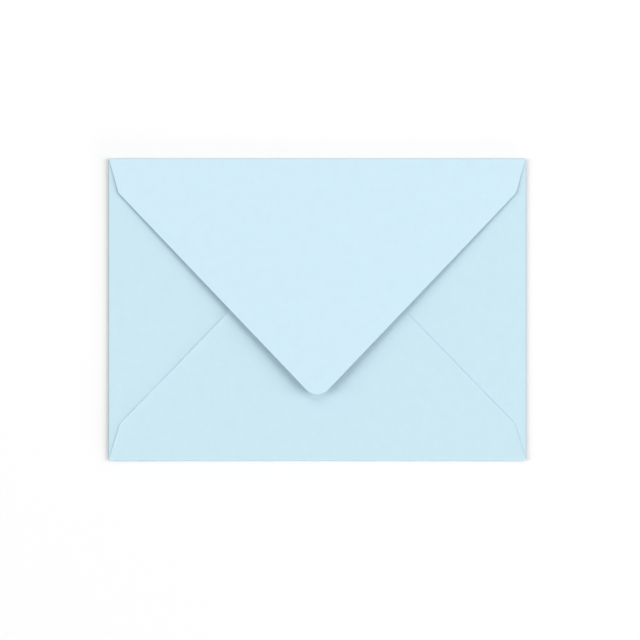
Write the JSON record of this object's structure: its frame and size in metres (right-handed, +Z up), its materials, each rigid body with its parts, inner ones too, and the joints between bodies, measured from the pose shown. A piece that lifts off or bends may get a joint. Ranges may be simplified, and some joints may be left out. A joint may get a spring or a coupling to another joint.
{
  "type": "paper envelope",
  "caption": "Empty greeting-card envelope folded from one sheet of light blue paper, lying on its front with its pointed closing flap folded over but not stuck down.",
  "frame": {"origin": "middle of the front panel's outer face, which is the face that lies on the table", "axes": "+X along the closing fold, +Y from the bottom fold to the closing fold, +Z up through the back of the envelope"},
  "size_m": [0.184, 0.133, 0.0064],
  "materials": {
    "paper": "uncoated light blue writing paper, matt, with its natural wove surface"
  },
  "bodies": {
    "root": {"envelope": "paper"}
  },
  "joints": []
}
